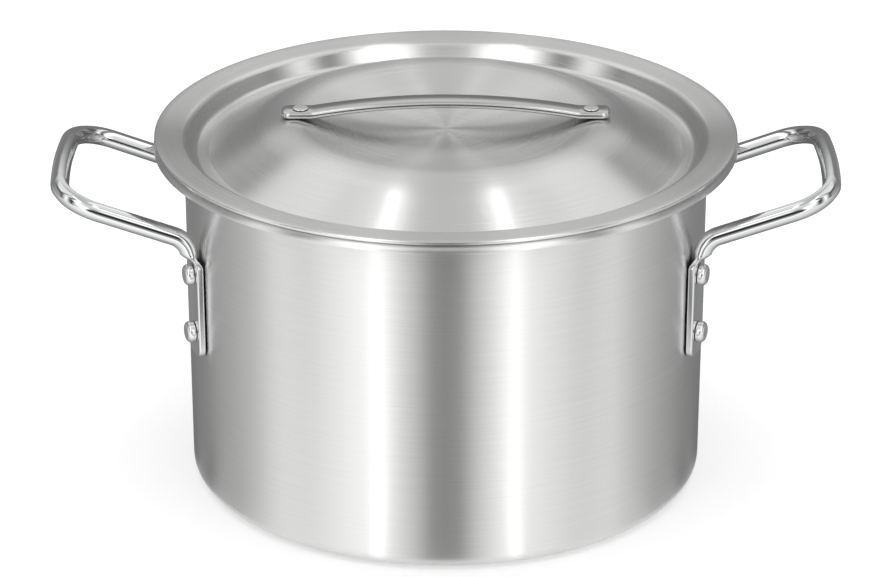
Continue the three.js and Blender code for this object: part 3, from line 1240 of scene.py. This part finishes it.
    def build_camera(self) -> None:
        """Places the camera at the photograph's angle."""
        camera = bpy.data.cameras.new("camera")
        camera.sensor_width = 36.0
        camera.lens = camera.sensor_width * self.focal_px / self.image_width_px
        camera.clip_end = 200.0
        holder = bpy.data.objects.new("camera", camera)
        bpy.context.scene.collection.objects.link(holder)
        tilt = math.radians(self.elevation_degrees)
        back = Vector((0, -math.cos(tilt), math.sin(tilt)))
        holder.location = Vector(self.aim) + back * self.distance
        holder.rotation_euler = (math.pi / 2 - tilt, 0, 0)
        bpy.context.scene.camera = holder

    def seen_directly(self, tree: bpy.types.NodeTree) -> bpy.types.NodeSocket:
        """Tells the rays that see the background, straight or in metal or glass, from those that light things.

        Args:
            tree: The tree that takes the nodes.

        Returns:
            A socket that is 1 for the rays that see the background and 0 for the others.
        """
        path = add_node(tree, "ShaderNodeLightPath").outputs
        seen = path["Is Camera Ray"]
        for kind in ("Is Glossy Ray", "Is Transmission Ray"):
            seen = add_node(tree, "ShaderNodeMath", {0: seen, 1: path[kind]}, operation="MAXIMUM").outputs[0]
        return seen

    def build_world(self) -> None:
        """Makes the surroundings white, with a softer level for the light that they give."""
        world = bpy.data.worlds.new("white_studio")
        bpy.context.scene.world = world
        world.use_nodes = True
        tree = world.node_tree
        tree.nodes.clear()
        level = add_node(
            tree, "ShaderNodeMapRange", {"Value": self.seen_directly(tree), "To Min": self.ambient, "To Max": 1.0}
        )
        white = add_node(
            tree, "ShaderNodeBackground", {"Color": linear("#FFFFFF"), "Strength": level.outputs[0]}
        )
        add_node(tree, "ShaderNodeOutputWorld", {"Surface": white.outputs[0]})

    def build_floor(self) -> None:
        """Lays the pale floor just under the pot."""
        bpy.ops.object.select_all(action="DESELECT")
        bpy.ops.mesh.primitive_plane_add(size=self.floor_size, location=(0, 0, -self.floor_drop))
        floor = bpy.context.object
        floor.name = "studio_floor"
        material = bpy.data.materials.new("paper_matt_white")
        tree = new_tree(material)
        paper = add_node(tree, "ShaderNodeBsdfDiffuse", {"Color": linear(self.floor_colour)})
        level = add_node(
            tree, "ShaderNodeMath", {0: self.seen_directly(tree), 1: self.floor_glow}, operation="MULTIPLY"
        )
        glow = add_node(
            tree, "ShaderNodeEmission", {"Color": linear("#FFFFFF"), "Strength": level.outputs[0]}
        )
        lit = add_node(tree, "ShaderNodeAddShader", {0: paper.outputs[0], 1: glow.outputs[0]})
        add_node(tree, "ShaderNodeOutputMaterial", {"Surface": lit.outputs[0]})
        floor.data.materials.append(material)

    def build_lamp(self) -> None:
        """Hangs one large soft lamp above the pot."""
        lamp = bpy.data.lights.new("soft_lamp", "AREA")
        lamp.size = self.lamp_size
        lamp.energy = self.lamp_power
        holder = bpy.data.objects.new("soft_lamp", lamp)
        holder.location = (0, 0, self.lamp_height)
        holder.visible_glossy = False
        bpy.context.scene.collection.objects.link(holder)

    def tone_band(
        self,
        tree: bpy.types.NodeTree,
        share: bpy.types.NodeSocket,
        tones: tuple[tuple[float, float], ...],
    ) -> bpy.types.NodeSocket:
        """Makes a grey that changes round the tent.

        Args:
            tree: The tree that takes the nodes.
            share: The share of a turn, from 0 to 1, with the camera's side at its middle.
            tones: The brightness at each angle in degrees.

        Returns:
            The socket of the colour.
        """
        band = add_node(tree, "ShaderNodeValToRGB", {"Fac": share})
        stops = band.color_ramp.elements
        while len(stops) < len(tones):
            stops.new(0.5)
        for stop, (degrees, tone) in zip(stops, tones):
            stop.position = (degrees + 180) / 360
            stop.color = (tone, tone, tone, 1.0)
        return band.outputs["Color"]

    def tent_cloth(self) -> bpy.types.Material:
        """Builds the tent's cloth: a glow that changes round the tent and evens out overhead.

        Returns:
            The new material.
        """
        material = bpy.data.materials.new("tent_cloth_lit_from_behind")
        tree = new_tree(material)
        axes = add_node(
            tree, "ShaderNodeSeparateXYZ", {0: add_node(tree, "ShaderNodeTexCoord").outputs["Object"]}
        ).outputs
        front = add_node(tree, "ShaderNodeMath", {0: axes["Y"], 1: -1.0}, operation="MULTIPLY")
        angle = add_node(tree, "ShaderNodeMath", {0: axes["X"], 1: front.outputs[0]}, operation="ARCTAN2")
        flat = add_node(tree, "ShaderNodeCombineXYZ", {"X": axes["X"], "Y": axes["Y"], "Z": 0.0})
        reach = add_node(tree, "ShaderNodeVectorMath", {0: flat.outputs[0]}, operation="LENGTH")
        far = add_node(
            tree, "ShaderNodeMath", {0: reach.outputs["Value"], 1: self.tent_floor_start}, operation="MAXIMUM"
        )
        past_wall = add_node(
            tree, "ShaderNodeMath", {0: far.outputs[0], 1: self.half_wall_radius}, operation="SUBTRACT"
        )
        spread = add_node(
            tree, "ShaderNodeMath", {0: far.outputs[0], 1: past_wall.outputs[0]}, operation="DIVIDE"
        )
        mirrored = add_node(
            tree, "ShaderNodeMath", {0: angle.outputs[0], 1: spread.outputs[0]}, operation="MULTIPLY"
        )
        share = add_node(
            tree,
            "ShaderNodeMapRange",
            {"Value": mirrored.outputs[0], "From Min": -math.pi, "From Max": math.pi},
        )
        cloth = self.tone_band(tree, share.outputs[0], self.ground_tones)
        for (start, full), tones in (
            (self.wall_heights, self.wall_tones),
            (self.roof_heights, self.roof_tones),
            (self.ceiling_heights, self.ceiling_tones),
            (self.tube_heights, self.tube_tones),
            (self.top_heights, self.top_tones),
        ):
            share_up = add_node(
                tree,
                "ShaderNodeMapRange",
                {"Value": axes["Z"], "From Min": start * self.tent_radius, "From Max": full * self.tent_radius},
                interpolation_type="SMOOTHSTEP",
            )
            above = self.tone_band(tree, share.outputs[0], tones)
            cloth = add_node(
                tree,
                "ShaderNodeMix",
                {"Factor": share_up.outputs[0], "A": cloth, "B": above},
                data_type="RGBA",
            ).outputs["Result"]
        glow = add_node(tree, "ShaderNodeEmission", {"Color": cloth, "Strength": 1.0})
        add_node(tree, "ShaderNodeOutputMaterial", {"Surface": glow.outputs[0]})
        return material

    def build_tent(self) -> None:
        """Puts up the light tent: half a sphere, and a cloth on the floor outside the camera's view."""
        bpy.ops.object.select_all(action="DESELECT")
        bpy.ops.mesh.primitive_uv_sphere_add(segments=96, ring_count=48, radius=self.tent_radius)
        dome = bpy.context.object
        dome.name = "tent_dome"
        with editing(dome):
            bpy.ops.mesh.select_all(action="SELECT")
            bpy.ops.mesh.bisect(plane_co=(0, 0, 0), plane_no=(0, 0, 1), clear_inner=True)
        bpy.ops.object.select_all(action="DESELECT")
        bpy.ops.mesh.primitive_circle_add(
            vertices=96, radius=self.tent_radius, fill_type="NGON", location=(0, 0, self.floor_drop)
        )
        ground = bpy.context.object
        ground.name = "tent_ground"
        with editing(ground):
            bpy.ops.mesh.select_all(action="SELECT")
            bpy.ops.mesh.inset(thickness=self.tent_radius - self.tent_floor_start)
            bpy.ops.mesh.delete(type="FACE")
        cloth = self.tent_cloth()
        for piece in (dome, ground):
            piece.data.materials.append(cloth)
            piece.visible_camera = False
            piece.visible_diffuse = False
            piece.visible_transmission = False
            piece.visible_shadow = False

    def build(self) -> None:
        """Sets up the whole studio and the plain view transform."""
        self.build_camera()
        self.build_world()
        self.build_floor()
        self.build_lamp()
        self.build_tent()
        bpy.context.scene.view_settings.view_transform = "Standard"


def main() -> None:
    """Builds the pot, the lid and the studio in order."""
    logging.basicConfig(level=logging.INFO, format="%(name)s: %(message)s")
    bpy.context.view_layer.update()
    pot = PotShell()
    pot.build()
    handle = SideHandle(pot)
    handle.build()
    handle.build_rivets()
    lid = Lid(pot)
    lid.build_shell()
    lid.build_strap()
    lid.build_rivets()
    Studio().build()


if __name__ == "__main__":
    main()
